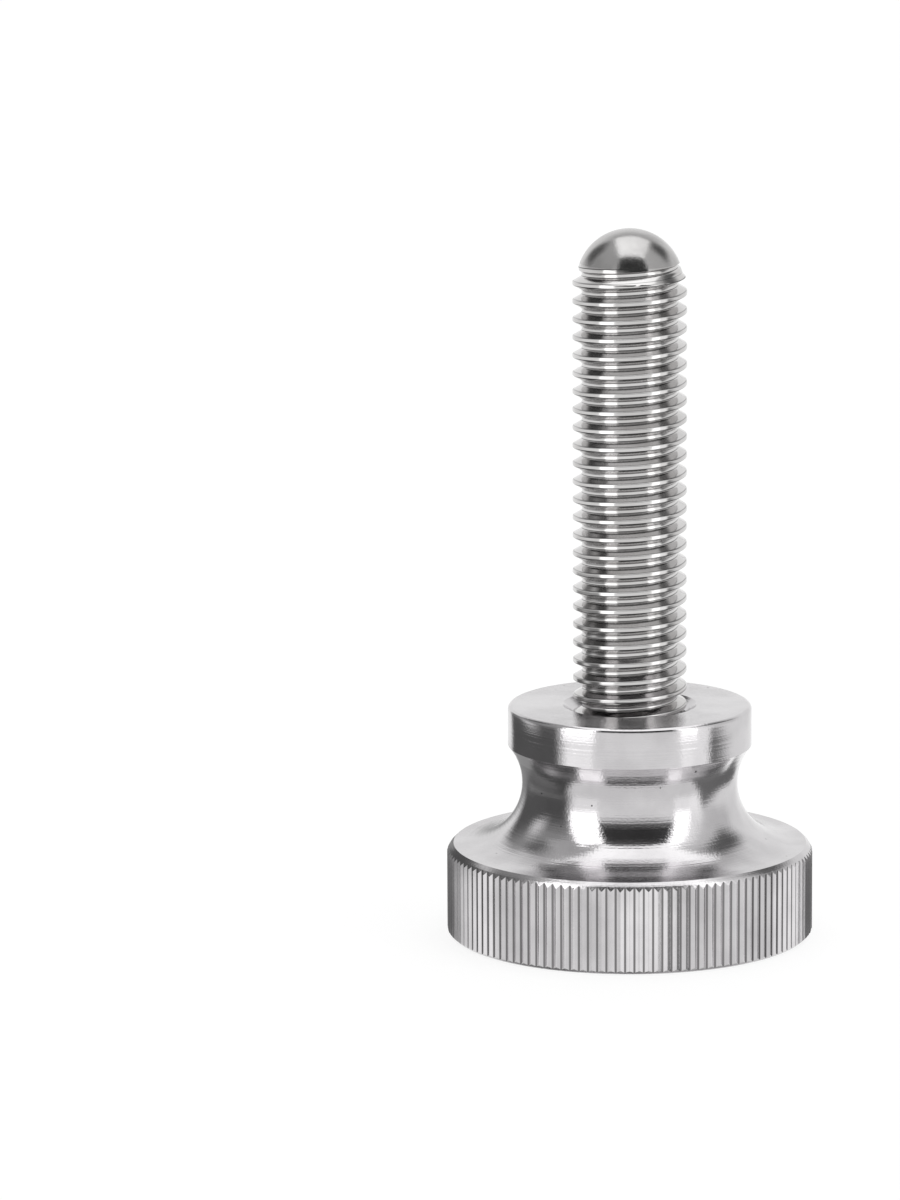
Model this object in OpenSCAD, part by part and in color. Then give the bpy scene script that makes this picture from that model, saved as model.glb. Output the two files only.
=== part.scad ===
// Knurled thumb screw: a turned, knurled head with a ball-ended stud screwed into its tapped blind hole.
// The origin is the centre of the head's flat end face, and +Z runs along the stud to its tip.

/* [Knurled rim] */
// Diameter over the crests of the knurl
knurl_d = 25.38; // [24:0.02:30]
// Number of straight teeth round the rim
knurl_teeth = 124; // [80:1:140]
// Depth of the groove between two teeth
knurl_depth = 0.17; // [0.1:0.01:0.3]
// Width of the flat left on each crest
knurl_crest = 0.04; // [0.02:0.01:0.12]
// Width of the flat at the bottom of each groove
knurl_root = 0.06; // [0.02:0.01:0.12]
// Height of the rim, from the end face to the shoulder under the neck
rim_h = 6.34; // [5:0.02:8]
// Bevel at the rim's end face
end_bevel = 0.3; // [0.1:0.02:0.8]
// Bevel at the rim's shoulder, inside the teeth
shoulder_bevel = 0.26; // [0.1:0.02:0.4]
// Height of the steeper slope that ends the teeth, below that bevel
tooth_slope_h = 0.32; // [0.1:0.01:0.5]
// Width of the slope that is left inside the bottoms of the grooves
slope_margin = 0.02; // [0.01:0.01:0.1]

/* [Neck and collar] */
// Height of the whole head, to the collar's clamping face
head_h = 16.1; // [15:0.05:20]
// Smallest diameter of the waisted neck
neck_d = 14.93; // [13:0.01:16]
// Radius of the round groove that makes the neck
neck_r = 4.27; // [3:0.01:4.4]
// Diameter of the collar
collar_d = 16.87; // [16.4:0.01:20]
// Rounding of the collar's outer edge
collar_edge_r = 0.2; // [0.1:0.02:0.5]

/* [Tapped hole] */
// Depth of the full-diameter hole below the clamping face
hole_depth = 12.5; // [10:0.1:12.8]
// Included angle of the drill point at the hole's bottom
drill_angle = 118; // [110:1:140]
// Diameter of the countersunk mouth on the clamping face
mouth_d = 9.3; // [8.6:0.1:11]
// Gap between the stud and the hole, all round
thread_gap = 0.03; // [0.02:0.01:0.1]

/* [Stud] */
// Major diameter of the thread
thread_d = 7.86; // [7.7:0.01:8]
// Pitch of the thread, which sets its pitch diameter inside the hole
thread_pitch = 1.25; // [0.75:0.25:1.25]
// Length of the stud that stands out of the clamping face
stud_reach = 33.13; // [20:0.01:60]
// Length of the stud inside the head
stud_hold = 12.2; // [9:0.1:12.4]
// Diameter of the ball on the stud's tip
ball_d = 7.33; // [6.9:0.01:7.4]
// Length of the tip that has no full thread
plain_tip = 3.48; // [3:0.02:6]
// Bevel at the thread's outer end
lead_bevel = 0.45; // [0.3:0.05:0.8]
// Bevel at the stud's hidden end
stud_bevel = 0.6; // [0.3:0.05:1]

/* [Hidden] */
$fn = 180;
knurl_rad = knurl_d / 2;
root_rad = knurl_rad - knurl_depth;
slope_rad = root_rad - slope_margin;
shoulder_rad = slope_rad - shoulder_bevel;
tooth_slope = tooth_slope_h / (knurl_rad - slope_rad);
neck_rad = neck_d / 2;
collar_rad = collar_d / 2;
mouth_rad = mouth_d / 2;
thread_rad = thread_d / 2;
// The thread's pitch diameter lies three quarters of its sharp V's height inside the crests
sharp_v_h = thread_pitch * sin(60);
pitch_rad = thread_rad - 0.375 * sharp_v_h;
hole_rad = pitch_rad + thread_gap;
ball_rad = ball_d / 2;
neck_mid_z = rim_h + neck_r;
neck_foot_rad = min(neck_rad + neck_r, shoulder_rad);
mouth_z = head_h - (mouth_rad - hole_rad);
stud_end_z = head_h - stud_hold;
tip_z = head_h + stud_reach;
ball_z = tip_z - ball_rad;
thread_end_z = tip_z - plain_tip;
// How far the knurl's blank and the hole's cutter reach past the surfaces that they cut
over = 0.2;

// One tooth's outline: a flat crest, then the flat at the bottom of the groove after it
function tooth(i) =
    let (
        pitch = 360 / knurl_teeth,
        half_crest = asin(knurl_crest / 2 / knurl_rad),
        half_root = asin(knurl_root / 2 / root_rad),
        flats = [
            [-half_crest, knurl_rad],
            [half_crest, knurl_rad],
            [pitch / 2 - half_root, root_rad],
            [pitch / 2 + half_root, root_rad]
        ]
    )
    [for (p = flats) p[1] * [cos(i * pitch + p[0]), sin(i * pitch + p[0])]];

module knurl_outline() {
    polygon([for (i = [0 : knurl_teeth - 1]) each tooth(i)]);
}

// Half section of the rim's blank, drawn past the crests, with both bevels and the slope of the tooth ends
module rim_section() {
    polygon([
        [0, 0],
        [knurl_rad - end_bevel, 0],
        [knurl_rad + over, end_bevel + over],
        [knurl_rad + over, rim_h - shoulder_bevel - tooth_slope_h - tooth_slope * over],
        [slope_rad, rim_h - shoulder_bevel],
        [shoulder_rad, rim_h],
        [0, rim_h]
    ]);
}

// Half section of the collar, with a rounded outer edge
module collar_section() {
    square([collar_rad, head_h - collar_edge_r]);
    square([collar_rad - collar_edge_r, head_h]);
    translate([collar_rad - collar_edge_r, head_h - collar_edge_r])
        circle(collar_edge_r);
}

// Half section of the hole: drill point, full diameter and countersunk mouth
module hole_section() {
    polygon([
        [0, head_h - hole_depth - hole_rad / tan(drill_angle / 2)],
        [hole_rad, head_h - hole_depth],
        [hole_rad, mouth_z],
        [mouth_rad + over, head_h + over],
        [0, head_h + over]
    ]);
}

module head_section() {
    difference() {
        union() {
            rim_section();
            square([neck_foot_rad, neck_mid_z]);
            collar_section();
        }
        translate([neck_rad + neck_r, neck_mid_z])
            circle(neck_r);
        hole_section();
    }
}

module knurled_head() {
    color([0.80, 0.79, 0.80])
        intersection() {
            rotate_extrude() head_section();
            linear_extrude(head_h + over) knurl_outline();
        }
}

// Half section of the stud. The thread is a plain cylinder: at the pitch diameter in the hole, where it
// meshes, and at the crests outside it, with a cone between the two in the hole's mouth.
module stud_section() {
    polygon([
        [0, stud_end_z],
        [pitch_rad - stud_bevel, stud_end_z],
        [pitch_rad, stud_end_z + stud_bevel],
        [pitch_rad, mouth_z],
        [thread_rad, head_h],
        [thread_rad, thread_end_z],
        [thread_rad - lead_bevel, thread_end_z + lead_bevel],
        [0, thread_end_z + lead_bevel]
    ]);
    translate([0, head_h])
        square([ball_rad, ball_z - head_h]);
    translate([0, ball_z])
        intersection() {
            circle(ball_rad);
            square(ball_rad);
        }
}

module threaded_stud() {
    color([0.72, 0.71, 0.69])
        rotate_extrude() stud_section();
}

knurled_head();
threaded_stud();
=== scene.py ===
from math import acos, cos, pi, radians, sin, tan

import bpy
from mathutils import Matrix, Vector


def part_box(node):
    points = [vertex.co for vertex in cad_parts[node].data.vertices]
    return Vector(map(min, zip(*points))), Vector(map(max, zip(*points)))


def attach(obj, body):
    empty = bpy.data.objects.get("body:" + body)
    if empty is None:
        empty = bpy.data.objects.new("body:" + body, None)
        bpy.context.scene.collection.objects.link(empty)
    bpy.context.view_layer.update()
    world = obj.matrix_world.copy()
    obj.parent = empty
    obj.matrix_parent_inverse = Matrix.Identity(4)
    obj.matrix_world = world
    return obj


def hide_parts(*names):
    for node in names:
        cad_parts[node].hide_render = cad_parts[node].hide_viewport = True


# Knurled thumb screw: a plated, turned head with a straight knurl, and a threaded stud with a ball tip.
# The sizes in the dictionaries are in millimetres, and everything that is built is in metres. The head's
# flat end face lies on the floor at z = 0 and the stud points up.

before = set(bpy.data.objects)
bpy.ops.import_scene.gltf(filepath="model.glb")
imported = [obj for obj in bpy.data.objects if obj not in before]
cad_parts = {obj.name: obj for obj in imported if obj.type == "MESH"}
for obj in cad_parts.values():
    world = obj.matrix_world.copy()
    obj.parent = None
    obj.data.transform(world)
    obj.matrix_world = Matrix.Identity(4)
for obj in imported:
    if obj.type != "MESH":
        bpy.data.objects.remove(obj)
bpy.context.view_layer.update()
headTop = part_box("knurled_head")[1].z
studLow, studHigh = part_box("threaded_stud")
mm = 0.001
weldDistance = 0.0004 * mm


# Node helpers, for the shape trees and for the shaders

def calc(tree, operation, *values):
    node = tree.nodes.new("ShaderNodeMath")
    node.operation = operation
    for socket, value in zip(node.inputs, values):
        if isinstance(value, bpy.types.NodeSocket):
            tree.links.new(value, socket)
        else:
            socket.default_value = value
    return node.outputs[0]


def addNode(tree, kind, inputs=None, **settings):
    node = tree.nodes.new(kind)
    for name, value in settings.items():
        setattr(node, name, value)
    for name, value in (inputs or {}).items():
        if isinstance(value, bpy.types.NodeSocket):
            tree.links.new(value, node.inputs[name])
        else:
            node.inputs[name].default_value = value
    return node


def mapValue(tree, value, fromLow, fromHigh, toLow=0.0, toHigh=1.0, smooth=True):
    ranges = {"Value": value, "From Min": fromLow, "From Max": fromHigh, "To Min": toLow, "To Max": toHigh}
    kind = "SMOOTHSTEP" if smooth else "LINEAR"
    return addNode(tree, "ShaderNodeMapRange", ranges, interpolation_type=kind).outputs["Result"]


def mixColors(tree, factor, first, second):
    node = addNode(tree, "ShaderNodeMix", data_type="RGBA")
    for index, value in ((0, factor), (6, first), (7, second)):
        if isinstance(value, bpy.types.NodeSocket):
            tree.links.new(value, node.inputs[index])
        elif index:
            node.inputs[index].default_value = (*value, 1.0)
        else:
            node.inputs[index].default_value = value
    return node.outputs[2]


def pickValue(tree, index, values):
    switch = addNode(tree, "GeometryNodeIndexSwitch", {"Index": index}, data_type="FLOAT")
    while len(switch.index_switch_items) < len(values):
        switch.index_switch_items.new()
    for number, value in enumerate(values):
        if isinstance(value, float):
            switch.inputs[number + 1].default_value = value
        else:
            tree.links.new(value, switch.inputs[number + 1])
    return switch.outputs[0]


# Helpers for shapes that go round the screw's axis

def newShapeTree(name, sizes):
    tree = bpy.data.node_groups.new(name, "GeometryNodeTree")
    tree.interface.new_socket(name="Geometry", in_out="INPUT", socket_type="NodeSocketGeometry")
    tree.interface.new_socket(name="Geometry", in_out="OUTPUT", socket_type="NodeSocketGeometry")
    for label, value in sizes.items():
        kind = "NodeSocketInt" if isinstance(value, int) else "NodeSocketFloat"
        tree.interface.new_socket(name=label, in_out="INPUT", socket_type=kind)
    start = tree.nodes.new("NodeGroupInput")
    end = tree.nodes.new("NodeGroupOutput")
    return tree, start.outputs, end.inputs["Geometry"]


def latheGrid(tree, columns, rows):
    # a flat grid that will be wrapped round the axis, with each point's own column and row
    grid = addNode(tree, "GeometryNodeMeshGrid", {
        "Size X": 1.0, "Size Y": 1.0,
        "Vertices X": calc(tree, "ADD", columns, 1.0),
        "Vertices Y": calc(tree, "ADD", rows, 1.0)})
    position = addNode(tree, "GeometryNodeInputPosition").outputs[0]
    place = addNode(tree, "ShaderNodeSeparateXYZ", {"Vector": position}).outputs
    column = calc(tree, "MULTIPLY", calc(tree, "ADD", place["X"], 0.5), columns)
    row = calc(tree, "MULTIPLY", calc(tree, "ADD", place["Y"], 0.5), rows)
    return grid.outputs["Mesh"], calc(tree, "ROUND", column), calc(tree, "ROUND", row), row


def enabledSocket(sockets, name):
    # nodes with a data type hold one socket of each name for each type, and use only one
    return next(socket for socket in sockets if socket.name == name and socket.enabled)


def sampleRow(tree, profile, value, row, kind="FLOAT"):
    sample = addNode(tree, "GeometryNodeSampleIndex", {
        "Geometry": profile, "Index": row}, data_type=kind, domain="POINT")
    tree.links.new(value, enabledSocket(sample.inputs, "Value"))
    return enabledSocket(sample.outputs, "Value")


def readValue(tree, name):
    return addNode(tree, "GeometryNodeInputNamedAttribute", {"Name": name}, data_type="FLOAT").outputs[0]


def storeValue(tree, mesh, name, value, domain):
    store = addNode(tree, "GeometryNodeStoreNamedAttribute", {
        "Geometry": mesh, "Name": name}, data_type="FLOAT", domain=domain)
    tree.links.new(value, enabledSocket(store.inputs, "Value"))
    return store.outputs[0]


def wrapRound(tree, mesh, angle, radius, height):
    point = addNode(tree, "ShaderNodeCombineXYZ", {
        "X": calc(tree, "MULTIPLY", radius, calc(tree, "COSINE", angle)),
        "Y": calc(tree, "MULTIPLY", radius, calc(tree, "SINE", angle)),
        "Z": height})
    return addNode(tree, "GeometryNodeSetPosition", {
        "Geometry": mesh, "Position": point.outputs[0]}).outputs[0]


def closeAndShade(tree, mesh, sharpFrom):
    # weld the seam and the poles, then keep the corners of the section crisp
    mesh = addNode(tree, "GeometryNodeMergeByDistance", {
        "Geometry": mesh, "Distance": weldDistance}).outputs[0]
    mesh = addNode(tree, "GeometryNodeSetShadeSmooth", {"Geometry": mesh, "Shade Smooth": True}).outputs[0]
    bend = addNode(tree, "GeometryNodeInputMeshEdgeAngle").outputs["Unsigned Angle"]
    soft = calc(tree, "LESS_THAN", bend, sharpFrom)
    return addNode(tree, "GeometryNodeSetShadeSmooth", {
        "Geometry": mesh, "Shade Smooth": soft}, domain="EDGE").outputs[0]


def profileMesh(name, section):
    # the half section as loose points: radius in X, height in Z, and its extra values as attributes
    mesh = bpy.data.meshes.new(name)
    mesh.from_pydata([(point[0] * mm, 0.0, point[1] * mm) for point in section], [], [])
    for index, label in enumerate(("endSlope", "finish")):
        values = mesh.attributes.new(label, "FLOAT", "POINT")
        values.data.foreach_set("value", [point[2 + index] for point in section])
    return mesh


def bakeShape(name, tree, sizes, mesh):
    # run the tree once and keep its result as a plain mesh
    source = bpy.data.objects.new(name + "Source", mesh)
    bpy.context.scene.collection.objects.link(source)
    modifier = source.modifiers.new("shape", "NODES")
    modifier.node_group = tree
    for item in tree.interface.items_tree:
        if item.in_out == "INPUT" and item.name in sizes:
            modifier[item.identifier] = sizes[item.name]
    evaluated = source.evaluated_get(bpy.context.evaluated_depsgraph_get())
    result = bpy.data.meshes.new_from_object(evaluated)
    source.modifiers.clear()
    bpy.data.objects.remove(source)
    piece = bpy.data.objects.new(name, result)
    bpy.context.scene.collection.objects.link(piece)
    print(f"{name}: {sum(len(face.vertices) - 2 for face in result.polygons)} triangles")
    return piece


# Metal finishes, with painted shade and a painted reflection in the colour of some. They read Object
# coordinates, scaled to millimetres.

plating = {
    "color": (0.60, 0.588, 0.598),
    "shade": (0.52, 0.508, 0.518),
    "pitColor": (0.10, 0.095, 0.095),
    "paintedGrooveShade": (0.60, 0.588, 0.598),
    "grooveRadius": 0.0,        # mm, below it the colour changes to the painted groove shade
    "grooveBlend": 0.1,         # mm
    "roughness": 0.11,
    "roughnessSpread": (0.8, 1.25),     # its share where the grain is low and where it is high
    "lowRoughness": 0.17,       # on the shoulder, below the heights that follow
    "lowFrom": 6.5,             # mm
    "lowTo": 7.7,               # mm
    "paintedReflectionColor": (0.76, 0.748, 0.757),     # painted reflection: a lighter band at the neck's top, under the collar
    "paintedReflectionStart": (12.2, 12.4),             # mm, where it blends in and out
    "paintedReflectionEnd": (13.3, 13.34),              # mm
    "anisotropic": 0.5,
    "turningHeight": 0.012,     # mm
    "turningPerMm": 6.0,
    "grainHeight": 0.006,       # mm
    "grainPerMm": 6.0,
    "cloudPerMm": 0.35,         # the worn patches, which have the shade's colour
    "wornFrom": 0.35,           # how much of the cloud is worn: its level where that begins and is full
    "wornTo": 0.7,
    "pits": 0.6,                # share of the pit cells that hold a pit
    "pitCellsPerMm": 0.75,
    "pitSizes": (0.02, 0.07),   # radius of the smallest and the largest, as shares of a cell
    "paintedShadeLines": (),            # painted shade lines along the thread, for its dark reflections: place in the pitch, half width, brightness
}
facing = dict(plating, roughness=0.2, lowRoughness=0.2, anisotropic=0.8, turningHeight=0.0008,
              grainHeight=0.0005, paintedReflectionColor=None)
knurling = dict(plating, roughness=0.15, lowRoughness=0.15, anisotropic=0.0, turningHeight=0.0, pits=0.1,
                grainHeight=0.003, paintedReflectionColor=None,
                # painted shade: the colour darkens in the knurl's grooves
                paintedGrooveShade=(0.18, 0.176, 0.178), grooveRadius=12.545, grooveBlend=0.03)
studSteel = dict(plating, color=(0.62, 0.612, 0.61), shade=(0.54, 0.53, 0.525), roughness=0.12,
                 lowRoughness=0.12, anisotropic=0.0, turningHeight=0.0, grainHeight=0.0012, pits=0.15,
                 paintedReflectionColor=None,
                 # painted shade: dark lines along the thread where its flanks show dark reflections
                 paintedShadeLines=((0.89, 0.028, 0.12), (0.63, 0.028, 0.12),
                            (0.41, 0.02, 0.12), (0.13, 0.02, 0.5)))
ballSteel = dict(studSteel, color=(0.5, 0.493, 0.49), shade=(0.4, 0.393, 0.39), roughness=0.18,
                 lowRoughness=0.18, grainHeight=0.005, grainPerMm=9.0, paintedShadeLines=())


def metalMaterial(name, look):
    material = bpy.data.materials.new(name)
    material.use_nodes = True
    tree = material.node_tree
    metal = tree.nodes["Principled BSDF"]
    metal.inputs["Metallic"].default_value = 1.0
    spot = addNode(tree, "ShaderNodeVectorMath", {
        "Vector": addNode(tree, "ShaderNodeTexCoord").outputs["Object"],
        "Scale": 1 / mm}, operation="SCALE").outputs[0]
    parts = addNode(tree, "ShaderNodeSeparateXYZ", {"Vector": spot}).outputs
    across = addNode(tree, "ShaderNodeCombineXYZ", {"X": parts["X"], "Y": parts["Y"]}).outputs[0]
    radius = addNode(tree, "ShaderNodeVectorMath", {"Vector": across}, operation="LENGTH").outputs["Value"]
    section = addNode(tree, "ShaderNodeCombineXYZ", {"X": radius, "Z": parts["Z"]}).outputs[0]

    cloud = addNode(tree, "ShaderNodeTexNoise", {
        "Vector": spot, "Scale": look["cloudPerMm"], "Detail": 3.0}).outputs["Fac"]
    grain = addNode(tree, "ShaderNodeTexNoise", {
        "Vector": spot, "Scale": look["grainPerMm"], "Detail": 2.0}).outputs["Fac"]
    turning = addNode(tree, "ShaderNodeTexNoise", {
        "Vector": section, "Scale": look["turningPerMm"], "Detail": 2.0}).outputs["Fac"]

    # a few cells of the pattern hold one small dark pit each
    cells = addNode(tree, "ShaderNodeTexVoronoi", {"Vector": spot, "Scale": look["pitCellsPerMm"]}).outputs
    chance = addNode(tree, "ShaderNodeSeparateColor", {"Color": cells["Color"]}).outputs
    pitSize = mapValue(tree, chance["Green"], 0.0, 1.0, *look["pitSizes"], smooth=False)
    inPit = calc(tree, "LESS_THAN", cells["Distance"], pitSize)
    pit = calc(tree, "MULTIPLY", inPit, calc(tree, "LESS_THAN", chance["Red"], look["pits"]))

    worn = mapValue(tree, cloud, look["wornFrom"], look["wornTo"])
    color = mixColors(tree, worn, look["color"], look["shade"])
    # painted shade: a darker colour below the groove radius
    grooveHalf = look["grooveBlend"] / 2
    inPaintedGrooveShade = mapValue(tree, radius, look["grooveRadius"] - grooveHalf, look["grooveRadius"] + grooveHalf,
                        1.0, 0.0)
    color = mixColors(tree, inPaintedGrooveShade, color, look["paintedGrooveShade"])
    # painted reflection: a lighter colour in a band at the neck's top
    if look["paintedReflectionColor"]:
        inPaintedReflection = calc(tree, "MULTIPLY",
                       mapValue(tree, parts["Z"], *look["paintedReflectionStart"]),
                       mapValue(tree, parts["Z"], *look["paintedReflectionEnd"], 1.0, 0.0))
        color = mixColors(tree, inPaintedReflection, color, look["paintedReflectionColor"])
    # painted shade: dark lines along the thread, placed by each point's place in the pitch
    if look["paintedShadeLines"]:
        turn = addNode(tree, "ShaderNodeAttribute", attribute_name="turn").outputs["Fac"]
        place = calc(tree, "FRACT", turn)
        for middle, half, brightness in look["paintedShadeLines"]:
            off = calc(tree, "ABSOLUTE", calc(tree, "SUBTRACT", place, middle))
            share = mapValue(tree, off, half * 0.5, half, 1.0, 0.0)
            paintedLineShade = tuple(channel * brightness for channel in look["color"])
            color = mixColors(tree, share, color, paintedLineShade)
    color = mixColors(tree, pit, color, look["pitColor"])
    tree.links.new(color, metal.inputs["Base Color"])
    gloss = mapValue(tree, parts["Z"], look["lowFrom"], look["lowTo"],
                     look["lowRoughness"], look["roughness"])
    uneven = mapValue(tree, grain, 0.3, 0.7, *look["roughnessSpread"], smooth=False)
    tree.links.new(calc(tree, "MULTIPLY", gloss, uneven), metal.inputs["Roughness"])
    height = calc(tree, "ADD",
                  calc(tree, "MULTIPLY", grain, look["grainHeight"] * mm),
                  calc(tree, "MULTIPLY", turning, look["turningHeight"] * mm))
    bump = addNode(tree, "ShaderNodeBump", {"Height": height, "Distance": 1.0, "Strength": 1.0})
    tree.links.new(bump.outputs[0], metal.inputs["Normal"])
    if look["anisotropic"]:
        # the turning marks run round the axis, so the gloss spreads across them
        metal.inputs["Anisotropic"].default_value = look["anisotropic"]
        metal.inputs["Anisotropic Rotation"].default_value = 0.25
        circling = addNode(tree, "ShaderNodeTangent", direction_type="RADIAL", axis="Z").outputs[0]
        tree.links.new(circling, metal.inputs["Tangent"])
    return material


turnedPlating = metalMaterial("turnedPlating", plating)
facedPlating = metalMaterial("facedPlating", facing)
knurledPlating = metalMaterial("knurledPlating", knurling)
brightStud = metalMaterial("brightStud", studSteel)
brightBall = metalMaterial("brightBall", ballSteel)
print("finishes made")


# Head: its half section goes round the axis, and the knurl cuts into the rim

head = {
    "rimDiameter": 25.38,
    "rimHeight": 6.34,
    "endBevel": 0.3,
    "shoulderBevel": 0.26,
    "toothSlopeHeight": 0.32,
    "slopeMargin": 0.02,
    "neckDiameter": 14.93,
    "neckRound": 4.27,
    "collarDiameter": 16.87,
    "collarEdge": 0.32,
    "mouthDiameter": 9.3,
    "boreDiameter": 7.92,
    "boreDepth": 12.5,
    "drillAngle": 118.0,
    "edgeLead": 1.0,        # height of the last ring of faces under the collar's rounded edge
    "faceSteps": 4,         # rings of faces on each flat face
    "neckSteps": 36,
    "edgeSteps": 5,
    "sharpFrom": 18.0,      # degrees between faces
}
knurl = {
    "teeth": 124,
    "grooveDepth": 0.17,
    "crestWidth": 0.04,
    "grooveWidth": 0.06,
    "unevenness": 0.03,     # how far a tooth's crest may stay under the full diameter
    "seed": 7,
}
turned, faced, knurled = 0.0, 1.0, 2.0


def headSection():
    # (radius, height, slope of the tooth ends, finish of the face after it), from the end face's middle
    # out over the rim and the collar to the bottom of the hole
    top = headTop / mm
    rim = head["rimDiameter"] / 2
    slopeRadius = rim - knurl["grooveDepth"] - head["slopeMargin"]
    slopeTop = head["rimHeight"] - head["shoulderBevel"]
    slopeFoot = slopeTop - head["toothSlopeHeight"]
    slope = head["toothSlopeHeight"] / (rim - slopeRadius)
    flat = rim - head["endBevel"]
    rings = head["faceSteps"]
    section = [(flat * step / rings, 0.0, 0.0, faced) for step in range(rings)]
    section += [
        (flat, 0.0, 0.0, turned),
        (rim, head["endBevel"], 1.0, knurled),
        (rim, slopeFoot, -slope, turned),
        (slopeRadius, slopeTop, 0.0, turned),
        (slopeRadius - head["shoulderBevel"], head["rimHeight"], 0.0, turned),
    ]
    bend = head["neckRound"]
    middle = head["neckDiameter"] / 2 + bend
    middleHeight = head["rimHeight"] + bend
    collar = head["collarDiameter"] / 2
    meeting = pi - acos((middle - collar) / bend)
    for step in range(head["neckSteps"] + 1):
        angle = 1.5 * pi + (meeting - 1.5 * pi) * step / head["neckSteps"]
        section.append((middle + bend * cos(angle), middleHeight + bend * sin(angle), 0.0, turned))
    edge = head["collarEdge"]
    section.append((collar, top - edge - head["edgeLead"], 0.0, turned))
    for step in range(head["edgeSteps"] + 1):
        angle = 0.5 * pi * step / head["edgeSteps"]
        section.append((collar - edge + edge * cos(angle), top - edge + edge * sin(angle), 0.0, turned))
    section[-1] = section[-1][:3] + (faced,)
    mouth = head["mouthDiameter"] / 2
    bore = head["boreDiameter"] / 2
    bottom = top - head["boreDepth"]
    for step in range(1, rings):
        section.append((collar - edge + (mouth - collar + edge) * step / rings, top, 0.0, faced))
    section += [
        (mouth, top, 0.0, turned),
        (bore, top - mouth + bore, 0.0, turned),
        (bore, bottom, 0.0, turned),
        (0.0, bottom - bore / tan(radians(head["drillAngle"] / 2)), 0.0, turned),
    ]
    return section


def headTree(rows):
    sizes = {
        "Teeth": knurl["teeth"], "Groove Depth": knurl["grooveDepth"] * mm,
        "Crest Width": knurl["crestWidth"] * mm, "Groove Width": knurl["grooveWidth"] * mm,
        "Rim Radius": head["rimDiameter"] / 2 * mm, "Unevenness": knurl["unevenness"] * mm,
        "Seed": knurl["seed"], "Rows": rows, "Sharp From": radians(head["sharpFrom"])}
    tree, given, end = newShapeTree("knurledHeadShape", sizes)
    stations = 8
    columns = calc(tree, "MULTIPLY", given["Teeth"], float(stations))
    grid, column, row, rowPlace = latheGrid(tree, columns, given["Rows"])

    # each tooth has three stations on its crest, one on each flank and three in its groove
    tooth = calc(tree, "FLOOR", calc(tree, "DIVIDE", calc(tree, "ADD", column, 0.5), float(stations)))
    station = calc(tree, "SUBTRACT", column, calc(tree, "MULTIPLY", tooth, float(stations)))
    pitch = calc(tree, "DIVIDE", 2 * pi, given["Teeth"])
    rimWidth = calc(tree, "MULTIPLY", given["Rim Radius"], 2.0)
    halfCrest = calc(tree, "DIVIDE", given["Crest Width"], rimWidth)
    halfGroove = calc(tree, "DIVIDE", given["Groove Width"], rimWidth)
    halfPitch = calc(tree, "MULTIPLY", pitch, 0.5)
    grooveFrom = calc(tree, "SUBTRACT", halfPitch, halfGroove)
    grooveTo = calc(tree, "ADD", halfPitch, halfGroove)
    nextCrest = calc(tree, "SUBTRACT", pitch, halfCrest)
    places = [
        calc(tree, "MULTIPLY", halfCrest, -1.0), 0.0, halfCrest,
        calc(tree, "MULTIPLY", calc(tree, "ADD", halfCrest, grooveFrom), 0.5),
        grooveFrom, halfPitch, grooveTo,
        calc(tree, "MULTIPLY", calc(tree, "ADD", grooveTo, nextCrest), 0.5)]
    depths = [0.0, 0.0, 0.0, 0.5, 1.0, 1.0, 1.0, 0.5]
    place = pickValue(tree, station, places)
    depth = pickValue(tree, station, depths)
    angle = calc(tree, "ADD", calc(tree, "MULTIPLY", tooth, pitch), place)
    chance = addNode(tree, "FunctionNodeRandomValue", {
        "ID": calc(tree, "MODULO", tooth, given["Teeth"]), "Seed": given["Seed"]}, data_type="FLOAT")
    chance = enabledSocket(chance.outputs, "Value")
    low = calc(tree, "MULTIPLY", calc(tree, "MULTIPLY", chance, given["Unevenness"]),
               calc(tree, "SUBTRACT", 1.0, depth))
    inside = calc(tree, "ADD", low, calc(tree, "MULTIPLY", given["Groove Depth"], depth))
    toothRadius = calc(tree, "SUBTRACT", given["Rim Radius"], inside)

    position = addNode(tree, "GeometryNodeInputPosition").outputs[0]
    onSection = addNode(tree, "ShaderNodeSeparateXYZ", {
        "Vector": sampleRow(tree, given["Geometry"], position, row, "FLOAT_VECTOR")}).outputs
    slope = sampleRow(tree, given["Geometry"], readValue(tree, "endSlope"), row)
    radius = calc(tree, "MINIMUM", onSection["X"], toothRadius)
    sunk = calc(tree, "MULTIPLY", slope, calc(tree, "SUBTRACT", radius, onSection["X"]))
    height = calc(tree, "ADD", onSection["Z"], sunk)

    mark = readValue(tree, "finish")
    finish = sampleRow(tree, given["Geometry"], mark, calc(tree, "FLOOR", rowPlace))
    mesh = wrapRound(tree, storeValue(tree, grid, "finish", finish, "FACE"), angle, radius, height)
    mesh = closeAndShade(tree, mesh, given["Sharp From"])
    mesh = addNode(tree, "GeometryNodeRealizeInstances", {"Geometry": mesh}).outputs[0]
    for material, number in ((turnedPlating, turned), (facedPlating, faced), (knurledPlating, knurled)):
        here = calc(tree, "COMPARE", mark, number, 0.1)
        mesh = addNode(tree, "GeometryNodeSetMaterial", {
            "Geometry": mesh, "Selection": here, "Material": material}).outputs[0]
    tree.links.new(mesh, end)
    return tree, sizes


section = headSection()
tree, sizes = headTree(len(section) - 1)
turnedHead = bakeShape("turnedHead", tree, sizes, profileMesh("headSection", section))
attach(turnedHead, "root")
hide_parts("knurled_head")


# Stud: a right-hand thread that runs out under a ball tip

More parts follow.
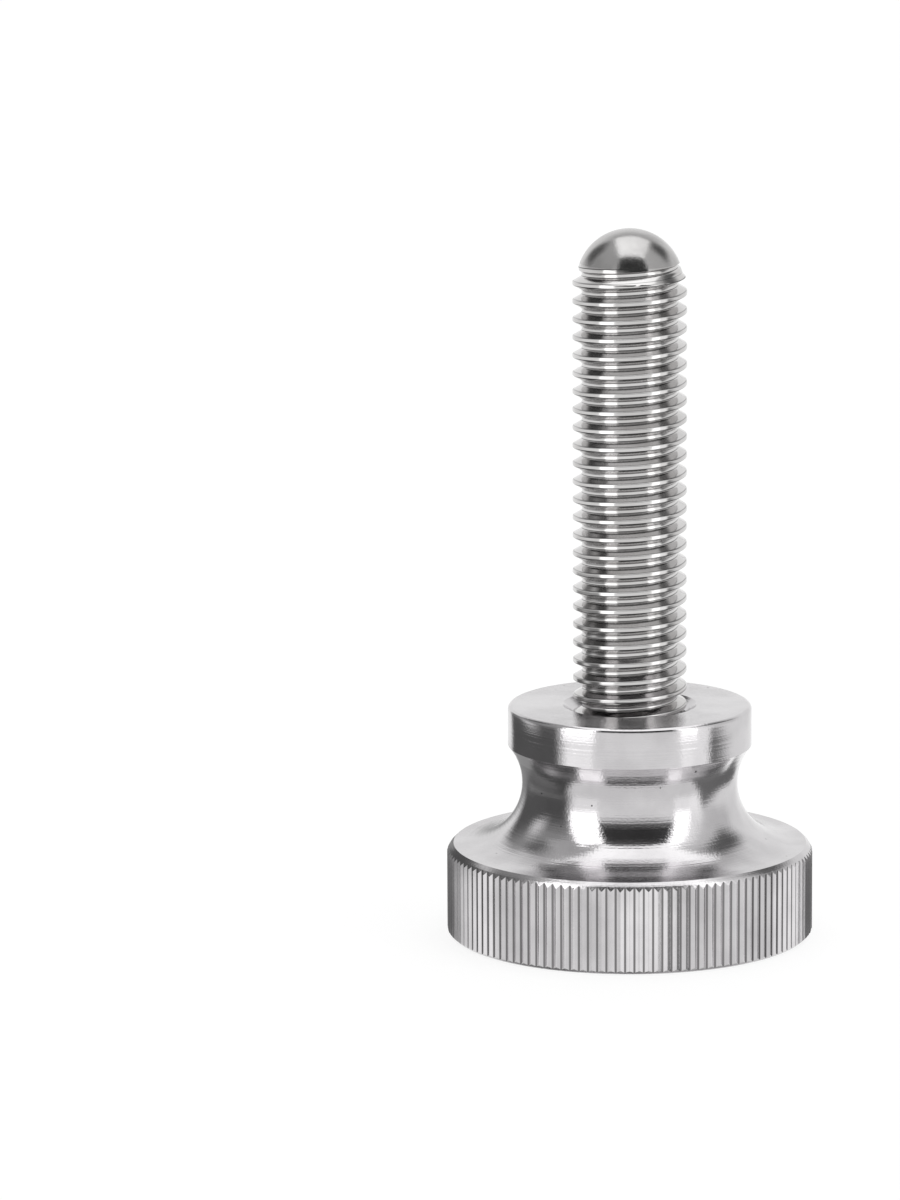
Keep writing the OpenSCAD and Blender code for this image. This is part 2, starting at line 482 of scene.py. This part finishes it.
stud = {
    "threadDiameter": 7.86,
    "pitch": 1.25,
    "threadDepth": 0.64,
    "crestWidth": 0.2,          # shares of the pitch
    "grooveWidth": 0.2,
    "crestRounding": 0.12,      # shares of a flank
    "grooveRounding": 0.15,
    "rowPlaces": [0.0, 0.06, 0.08, 0.1, 0.12, 0.14, 0.31, 0.355, 0.4, 0.445],
    "firstCrest": 2.385,        # height of a crest on the +X side
    "fadeFrom": 35.2,           # turns, counted from there
    "fadeTo": 35.6,
    "ballDiameter": 7.33,
    "bevelFrom": 45.85,         # height where the thread's lead bevel starts
    "ballFrom": 46.9,           # height where the thread's grid gives way to the ball's
    "hiddenBevel": 0.7,
    "footRows": 3,              # rings of faces on the hidden end
    "columns": 96,
    "ballRows": 24,
    "sharpFrom": 40.0,
}


def studTree():
    bottom, top = studLow.z / mm, studHigh.z / mm
    ball = stud["ballDiameter"] / 2
    ballHeight = top - ball
    turns = int((top - bottom) / stud["pitch"]) + 1
    sizes = {
        "Crest Radius": stud["threadDiameter"] / 2 * mm, "Pitch": stud["pitch"] * mm,
        "Thread Depth": stud["threadDepth"] * mm, "Crest Share": stud["crestWidth"] / 2,
        "Groove Share": stud["grooveWidth"] / 2, "Crest Rounding": stud["crestRounding"],
        "Groove Rounding": stud["grooveRounding"],
        "First Crest": stud["firstCrest"] * mm, "Fade From": stud["fadeFrom"], "Fade To": stud["fadeTo"],
        "Ball Radius": ball * mm, "Ball Height": ballHeight * mm, "Bevel From": stud["bevelFrom"] * mm,
        "Bottom": bottom * mm, "Ball From": stud["ballFrom"] * mm, "Hidden Bevel": stud["hiddenBevel"] * mm,
        "Columns": stud["columns"], "Turns": turns, "Foot Rows": stud["footRows"],
        "Ball Rows": stud["ballRows"], "Sharp From": radians(stud["sharpFrom"])}
    tree, given, end = newShapeTree("threadedStudShape", sizes)
    half = stud["rowPlaces"]
    places = half + [0.5] + [1.0 - place for place in reversed(half[1:])]

    rows = calc(tree, "MULTIPLY", given["Turns"], float(len(places)))
    grid, column, row = latheGrid(tree, given["Columns"], rows)[:3]
    around = calc(tree, "DIVIDE", column, given["Columns"])
    angle = calc(tree, "MULTIPLY", around, 2 * pi)

    # turn counts pitches up the screw from the first crest, less the way round, so a crest keeps its
    # number all the way up
    def turnAt(height):
        up = calc(tree, "DIVIDE", calc(tree, "SUBTRACT", height, given["First Crest"]), given["Pitch"])
        return calc(tree, "SUBTRACT", up, around)

    lowest, highest = turnAt(given["Bottom"]), turnAt(given["Ball From"])
    whole = calc(tree, "FLOOR", calc(tree, "DIVIDE", calc(tree, "ADD", row, 0.5), float(len(places))))
    step = calc(tree, "SUBTRACT", row, calc(tree, "MULTIPLY", whole, float(len(places))))
    turn = calc(tree, "ADD", whole, pickValue(tree, step, places))
    turn = calc(tree, "MINIMUM", calc(tree, "MAXIMUM", turn, lowest), highest)
    height = calc(tree, "MULTIPLY", calc(tree, "ADD", turn, around), given["Pitch"])
    height = calc(tree, "ADD", height, given["First Crest"])

    off = calc(tree, "ABSOLUTE", calc(tree, "SUBTRACT", turn, calc(tree, "ROUND", turn)))
    grooveEdge = calc(tree, "SUBTRACT", 0.5, given["Groove Share"])
    flank = calc(tree, "DIVIDE", calc(tree, "SUBTRACT", grooveEdge, off),
                 calc(tree, "SUBTRACT", grooveEdge, given["Crest Share"]))
    flank = calc(tree, "SMOOTH_MAX", flank, 0.0, given["Groove Rounding"])
    flank = calc(tree, "SMOOTH_MIN", flank, 1.0, given["Crest Rounding"])
    count = calc(tree, "ADD", calc(tree, "FLOOR", turn), around)
    fade = addNode(tree, "ShaderNodeMapRange", {
        "Value": count, "From Min": given["Fade From"], "From Max": given["Fade To"],
        "To Min": 1.0, "To Max": 0.0}, interpolation_type="SMOOTHSTEP").outputs["Result"]
    cut = calc(tree, "MULTIPLY", calc(tree, "SUBTRACT", 1.0, flank),
               calc(tree, "MULTIPLY", fade, given["Thread Depth"]))
    radius = calc(tree, "SUBTRACT", given["Crest Radius"], cut)

    overBevel = calc(tree, "SUBTRACT", height, given["Bevel From"])
    bevel = calc(tree, "SUBTRACT", given["Crest Radius"], overBevel)
    above = calc(tree, "MAXIMUM", calc(tree, "SUBTRACT", height, given["Ball Height"]), 0.0)
    onBall = calc(tree, "SQRT", calc(tree, "SUBTRACT", calc(tree, "POWER", given["Ball Radius"], 2.0),
                                     calc(tree, "POWER", above, 2.0)))
    hidden = calc(tree, "SUBTRACT", given["Crest Radius"], given["Hidden Bevel"])
    hidden = calc(tree, "ADD", hidden, calc(tree, "SUBTRACT", height, given["Bottom"]))
    radius = calc(tree, "MINIMUM", radius, calc(tree, "MAXIMUM", bevel, onBall))
    radius = calc(tree, "MINIMUM", radius, hidden)
    # the last row closes the groove's end against the ball
    last = calc(tree, "GREATER_THAN", row, calc(tree, "SUBTRACT", rows, 0.5))
    radius = calc(tree, "ADD", radius, calc(tree, "MULTIPLY", last, calc(tree, "SUBTRACT", onBall, radius)))
    thread = wrapRound(tree, storeValue(tree, grid, "turn", turn, "POINT"), angle, radius, height)

    grid, column, row = latheGrid(tree, given["Columns"], given["Ball Rows"])[:3]
    angle = calc(tree, "MULTIPLY", calc(tree, "DIVIDE", column, given["Columns"]), 2 * pi)
    rise = calc(tree, "DIVIDE", calc(tree, "SUBTRACT", given["Ball From"], given["Ball Height"]),
                given["Ball Radius"])
    left = calc(tree, "SUBTRACT", 1.0, calc(tree, "DIVIDE", row, given["Ball Rows"]))
    tilt = calc(tree, "MULTIPLY", calc(tree, "ARCCOSINE", rise), left)
    radius = calc(tree, "MULTIPLY", calc(tree, "SINE", tilt), given["Ball Radius"])
    height = calc(tree, "MULTIPLY", calc(tree, "COSINE", tilt), given["Ball Radius"])
    tip = wrapRound(tree, grid, angle, radius, calc(tree, "ADD", height, given["Ball Height"]))

    # the hidden end's flat face
    grid, column, row = latheGrid(tree, given["Columns"], given["Foot Rows"])[:3]
    angle = calc(tree, "MULTIPLY", calc(tree, "DIVIDE", column, given["Columns"]), 2 * pi)
    radius = calc(tree, "MULTIPLY", calc(tree, "SUBTRACT", given["Crest Radius"], given["Hidden Bevel"]),
                  calc(tree, "DIVIDE", row, given["Foot Rows"]))
    foot = wrapRound(tree, grid, angle, radius, given["Bottom"])

    joined = tree.nodes.new("GeometryNodeJoinGeometry")
    for part in (foot, thread, tip):
        tree.links.new(part, joined.inputs[0])
    mesh = closeAndShade(tree, joined.outputs[0], given["Sharp From"])
    mesh = addNode(tree, "GeometryNodeRealizeInstances", {"Geometry": mesh}).outputs[0]
    mesh = addNode(tree, "GeometryNodeSetMaterial", {"Geometry": mesh, "Material": brightStud}).outputs[0]
    position = addNode(tree, "GeometryNodeInputPosition").outputs[0]
    height = addNode(tree, "ShaderNodeSeparateXYZ", {"Vector": position}).outputs["Z"]
    onTip = calc(tree, "GREATER_THAN", height, given["Ball From"])
    mesh = addNode(tree, "GeometryNodeSetMaterial", {
        "Geometry": mesh, "Selection": onTip, "Material": brightBall}).outputs[0]
    tree.links.new(mesh, end)
    return tree, sizes


tree, sizes = studTree()
threadedStud = bakeShape("ballEndStud", tree, sizes, bpy.data.meshes.new("studStart"))
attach(threadedStud, "root")
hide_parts("threaded_stud")


# Studio: a white floor, and a white backdrop that the gloss shows too, with soft boxes and screens in it.
# Azimuths are in degrees from the camera's side towards its right, elevations from the horizon.

studio = {
    "whiteLevel": 1.0,
    "floorSize": 6.0,           # metres
    "floorDrop": 0.02,          # mm below the screw, which keeps the two faces apart
    "floorGlow": 0.82,          # added for the camera alone, so that the lit floor comes out white
    "floorColor": 0.25,
    "nearCardSteps": 24,        # faces round each of the near cards
    "cards": {
        # azimuth from, to, its softness, elevation from, to, its softness, level
        "ceiling": (-180.0, 180.0, 1.0, 40.0, 90.0, 14.0, 0.6),
        "leftWall": (-140.0, -40.0, 6.0, 10.0, 66.0, 12.0, 0.55),
        "leftLobe": (-140.0, -108.0, 8.0, 18.0, 50.0, 8.0, 0.15),
        "rightWall": (50.0, 122.0, 9.0, 0.0, 60.0, 8.0, 0.8),
        "rightLobe": (104.0, 138.0, 10.0, 25.0, 54.0, 9.0, 0.15),
        "leftBoxOnFloor": (-63.0, -32.0, 4.0, -22.0, 18.0, 4.0, 1.3),
        "rightBoxOnFloor": (46.0, 80.0, 7.0, -22.0, 18.0, 4.0, 1.3),
        "cameraScreen": (-32.5, 46.0, 2.0, 15.5, 66.0, 15.0, 0.045),
        "leftGround": (-150.0, -74.0, 6.0, -80.0, -18.0, 4.0, 0.1),
        "underfoot": (-180.0, 180.0, 1.0, -90.0, -74.0, 5.0, 0.08),
    },
    # a dark card low on the right, whose top edge falls away from its azimuth at the horizon
    "lowCard": {"azimuth": 80.0, "slope": -0.62, "softness": 9.0, "startFrom": 78.0, "startTo": 86.0,
                "endFrom": 138.0, "endTo": 154.0, "level": 0.24},
    # the soft box overhead: its sides are slopes from straight up
    "overhead": {"left": -0.38, "right": 0.55, "front": 0.466, "back": 0.675, "softness": 0.05,
                 "level": 1.6},
    # cards that stand round the screw, nearer than the backdrop, in millimetres from its axis and the floor:
    # radius, azimuth from, to, its softness, height from, to, its softness, level
    "nearCards": {
        "leftBox": (40.0, -60.5, -30.5, 1.5, 10.5, 60.0, 1.6, 2.1),
        "rightBox": (40.0, 43.5, 60.0, 2.5, 10.5, 60.0, 1.6, 2.1),
        "rightBoxEdge": (41.0, 55.0, 72.0, 9.0, 11.5, 60.0, 3.0, 1.2),
        "bounce": (20.0, -28.0, 39.0, 2.0, 6.0, 12.6, 1.5, 1.05),
        "darkSide": (22.0, -126.0, -57.0, 6.0, 4.5, 22.5, 3.0, 0.12),
        "darkFoot": (22.3, -152.0, -120.0, 6.0, -4.0, 8.0, 2.0, 0.3),
        "rimRight": (32.0, 80.0, 142.0, 8.0, -6.0, 1.5, 1.0, 0.2),
        "rimLeft": (32.0, -145.0, -78.0, 10.0, -6.0, 1.5, 1.0, 0.2),
    },
    # the dark side card's paler upper half and the streak across it
    "paleFrom": 11.5,
    "paleTo": 20.0,
    "paleLevel": 0.34,
    "streak": {"azimuth": -95.5, "height": 18.0, "slope": -1.42, "width": 17.0,
               "lowFrom": 11.5, "lowTo": 15.5, "highFrom": 13.5, "highTo": 21.5, "level": 0.95},
}


def mixLevels(tree, share, first, second):
    node = addNode(tree, "ShaderNodeMix", data_type="FLOAT")
    for socket, value in zip((node.inputs[0], node.inputs[2], node.inputs[3]), (share, first, second)):
        if isinstance(value, bpy.types.NodeSocket):
            tree.links.new(value, socket)
        else:
            socket.default_value = value
    return node.outputs[0]


# A card's share of what is seen, with a soft edge on each side

def fadeIn(tree, share, place, edge, soft):
    return calc(tree, "MULTIPLY", share, mapValue(tree, place, edge - soft, edge + soft))


def fadeOut(tree, share, place, edge, soft):
    return calc(tree, "MULTIPLY", share, mapValue(tree, place, edge - soft, edge + soft, 1.0, 0.0))


def azimuthOf(tree, parts):
    towardsCamera = calc(tree, "MULTIPLY", parts["Y"], -1.0)
    return calc(tree, "DEGREES", calc(tree, "ARCTAN2", parts["X"], towardsCamera))


def buildWorld():
    world = bpy.data.worlds.new("studio")
    world.use_nodes = True
    bpy.context.scene.world = world
    tree = world.node_tree
    direction = addNode(tree, "ShaderNodeTexCoord").outputs["Generated"]
    parts = addNode(tree, "ShaderNodeSeparateXYZ", {"Vector": direction}).outputs
    azimuth = azimuthOf(tree, parts)
    elevation = calc(tree, "DEGREES", calc(tree, "ARCSINE", parts["Z"]))
    level = studio["whiteLevel"]
    for card in studio["cards"].values():
        ends = ((azimuth, card[0:3], 180.0), (elevation, card[3:6], 90.0))
        share = 1.0
        for place, (low, high, soft), limit in ends:
            if low > -limit:
                share = fadeIn(tree, share, place, low, soft)
            if high < limit:
                share = fadeOut(tree, share, place, high, soft)
        level = mixLevels(tree, share, level, card[6])

    lowCard = studio["lowCard"]
    edge = calc(tree, "MULTIPLY", calc(tree, "SUBTRACT", azimuth, lowCard["azimuth"]), lowCard["slope"])
    over = calc(tree, "SUBTRACT", elevation, edge)
    under = mapValue(tree, over, -lowCard["softness"], lowCard["softness"], 1.0, 0.0)
    ends = calc(tree, "MULTIPLY", mapValue(tree, azimuth, lowCard["startFrom"], lowCard["startTo"]),
                mapValue(tree, azimuth, lowCard["endFrom"], lowCard["endTo"], 1.0, 0.0))
    level = mixLevels(tree, calc(tree, "MULTIPLY", under, ends), level, lowCard["level"])

    # the slopes from straight up mean nothing at the horizon and below, so the box ends just above it
    box = studio["overhead"]
    up = calc(tree, "MAXIMUM", parts["Z"], 0.001)
    aside = calc(tree, "DIVIDE", parts["X"], up)
    behind = calc(tree, "DIVIDE", parts["Y"], up)
    share = calc(tree, "GREATER_THAN", parts["Z"], 0.01)
    for place, low, high in ((aside, box["left"], box["right"]), (behind, -box["front"], box["back"])):
        share = fadeIn(tree, share, place, low, box["softness"])
        share = fadeOut(tree, share, place, high, box["softness"])
    level = mixLevels(tree, share, level, box["level"])
    # the gloss sees the white with its cards, the camera and clear materials see it plain
    rays = addNode(tree, "ShaderNodeLightPath").outputs
    plain = calc(tree, "MAXIMUM", rays["Is Camera Ray"], rays["Is Transmission Ray"])
    level = mixLevels(tree, plain, level, studio["whiteLevel"])
    background = tree.nodes["Background"]
    background.inputs["Color"].default_value = (1.0, 1.0, 1.0, 1.0)
    tree.links.new(level, background.inputs["Strength"])


def buildFloor():
    half = studio["floorSize"] / 2
    mesh = bpy.data.meshes.new("floor")
    height = -studio["floorDrop"] * mm
    corners = [(x * half, y * half, height) for x, y in ((-1, -1), (1, -1), (1, 1), (-1, 1))]
    mesh.from_pydata(corners, [], [(0, 1, 2, 3)])
    floor = bpy.data.objects.new("floor", mesh)
    bpy.context.scene.collection.objects.link(floor)
    material = bpy.data.materials.new("paleFloor")
    material.use_nodes = True
    tree = material.node_tree
    tree.nodes.remove(tree.nodes["Principled BSDF"])
    shade = studio["floorColor"]
    matt = addNode(tree, "ShaderNodeBsdfDiffuse", {"Color": (shade, shade, shade, 1.0)}).outputs[0]
    rays = addNode(tree, "ShaderNodeLightPath").outputs
    seen = calc(tree, "MULTIPLY", rays["Is Camera Ray"], studio["floorGlow"])
    glow = addNode(tree, "ShaderNodeEmission", {"Color": (1.0, 1.0, 1.0, 1.0), "Strength": seen}).outputs[0]
    both = addNode(tree, "ShaderNodeAddShader")
    tree.links.new(matt, both.inputs[0])
    tree.links.new(glow, both.inputs[1])
    tree.links.new(both.outputs[0], tree.nodes["Material Output"].inputs["Surface"])
    mesh.materials.append(material)
    floor.visible_glossy = False        # the gloss shows the world's own lower half there


def buildNearCard(name, card):
    radius, azFrom, azTo, azSoft, low, high, soft, level = card
    steps = studio["nearCardSteps"]
    corners, faces = [], []
    for step in range(steps + 1):
        azimuth = radians(azFrom - azSoft + (azTo - azFrom + 2 * azSoft) * step / steps)
        for height in (low - soft, high + soft):
            corners.append((radius * sin(azimuth) * mm, -radius * cos(azimuth) * mm, height * mm))
    for step in range(steps):
        faces.append((2 * step, 2 * step + 1, 2 * step + 3, 2 * step + 2))
    mesh = bpy.data.meshes.new(name)
    mesh.from_pydata(corners, [], faces)
    piece = bpy.data.objects.new(name, mesh)
    bpy.context.scene.collection.objects.link(piece)
    material = bpy.data.materials.new(name + "Glow")
    material.use_nodes = True
    tree = material.node_tree
    tree.nodes.remove(tree.nodes["Principled BSDF"])
    parts = addNode(tree, "ShaderNodeSeparateXYZ", {
        "Vector": addNode(tree, "ShaderNodeTexCoord").outputs["Object"]}).outputs
    azimuth = azimuthOf(tree, parts)
    height = calc(tree, "DIVIDE", parts["Z"], mm)
    share = fadeIn(tree, 1.0, azimuth, azFrom, azSoft)
    share = fadeOut(tree, share, azimuth, azTo, azSoft)
    share = fadeIn(tree, share, height, low, soft)
    share = fadeOut(tree, share, height, high, soft)
    if name == "darkSide":
        level = mapValue(tree, height, studio["paleFrom"], studio["paleTo"], level, studio["paleLevel"])
        streak = studio["streak"]
        rise = calc(tree, "SUBTRACT", height, streak["height"])
        middle = calc(tree, "ADD", calc(tree, "MULTIPLY", rise, streak["slope"]), streak["azimuth"])
        off = calc(tree, "ABSOLUTE", calc(tree, "SUBTRACT", azimuth, middle))
        along = calc(tree, "MULTIPLY", mapValue(tree, height, streak["lowFrom"], streak["lowTo"]),
                     mapValue(tree, height, streak["highFrom"], streak["highTo"], 1.0, 0.0))
        across = mapValue(tree, off, 0.0, streak["width"], 1.0, 0.0)
        level = mixLevels(tree, calc(tree, "MULTIPLY", along, across), level, streak["level"])
    glow = addNode(tree, "ShaderNodeEmission", {"Color": (1.0, 1.0, 1.0, 1.0), "Strength": level}).outputs[0]
    clear = tree.nodes.new("ShaderNodeBsdfTransparent").outputs[0]
    both = tree.nodes.new("ShaderNodeMixShader")
    for socket, source in zip(both.inputs, (share, clear, glow)):
        tree.links.new(source, socket)
    tree.links.new(both.outputs[0], tree.nodes["Material Output"].inputs["Surface"])
    mesh.materials.append(material)
    piece.visible_camera = False
    piece.visible_diffuse = False
    piece.visible_transmission = False
    piece.visible_shadow = False


def buildCamera():
    # target height and distance in millimetres, elevation in degrees, lens and sensor in millimetres
    view = {"target": 23.409, "distance": 449.07, "elevation": 11.2, "shift": -0.14978, "lens": 195.37,
            "sensor": 36.0}
    rise = radians(view["elevation"])
    ahead = Vector((0.0, cos(rise), -sin(rise)))
    place = Vector((0.0, 0.0, view["target"] * mm)) - ahead * view["distance"] * mm
    data = bpy.data.cameras.new("camera")
    data.lens = view["lens"]
    data.sensor_width = view["sensor"]
    data.sensor_fit = "AUTO"
    data.clip_start = 0.01
    camera = bpy.data.objects.new("camera", data)
    data.shift_x = view["shift"]        # the screw stands right of the middle of the frame
    camera.matrix_world = Matrix.Translation(place) @ Matrix.Rotation(pi / 2 - rise, 4, "X")
    bpy.context.scene.collection.objects.link(camera)
    bpy.context.scene.camera = camera


buildWorld()
buildFloor()
for name, card in studio["nearCards"].items():
    buildNearCard(name, card)
buildCamera()
bpy.context.scene.view_settings.view_transform = "Standard"
print("studio made")
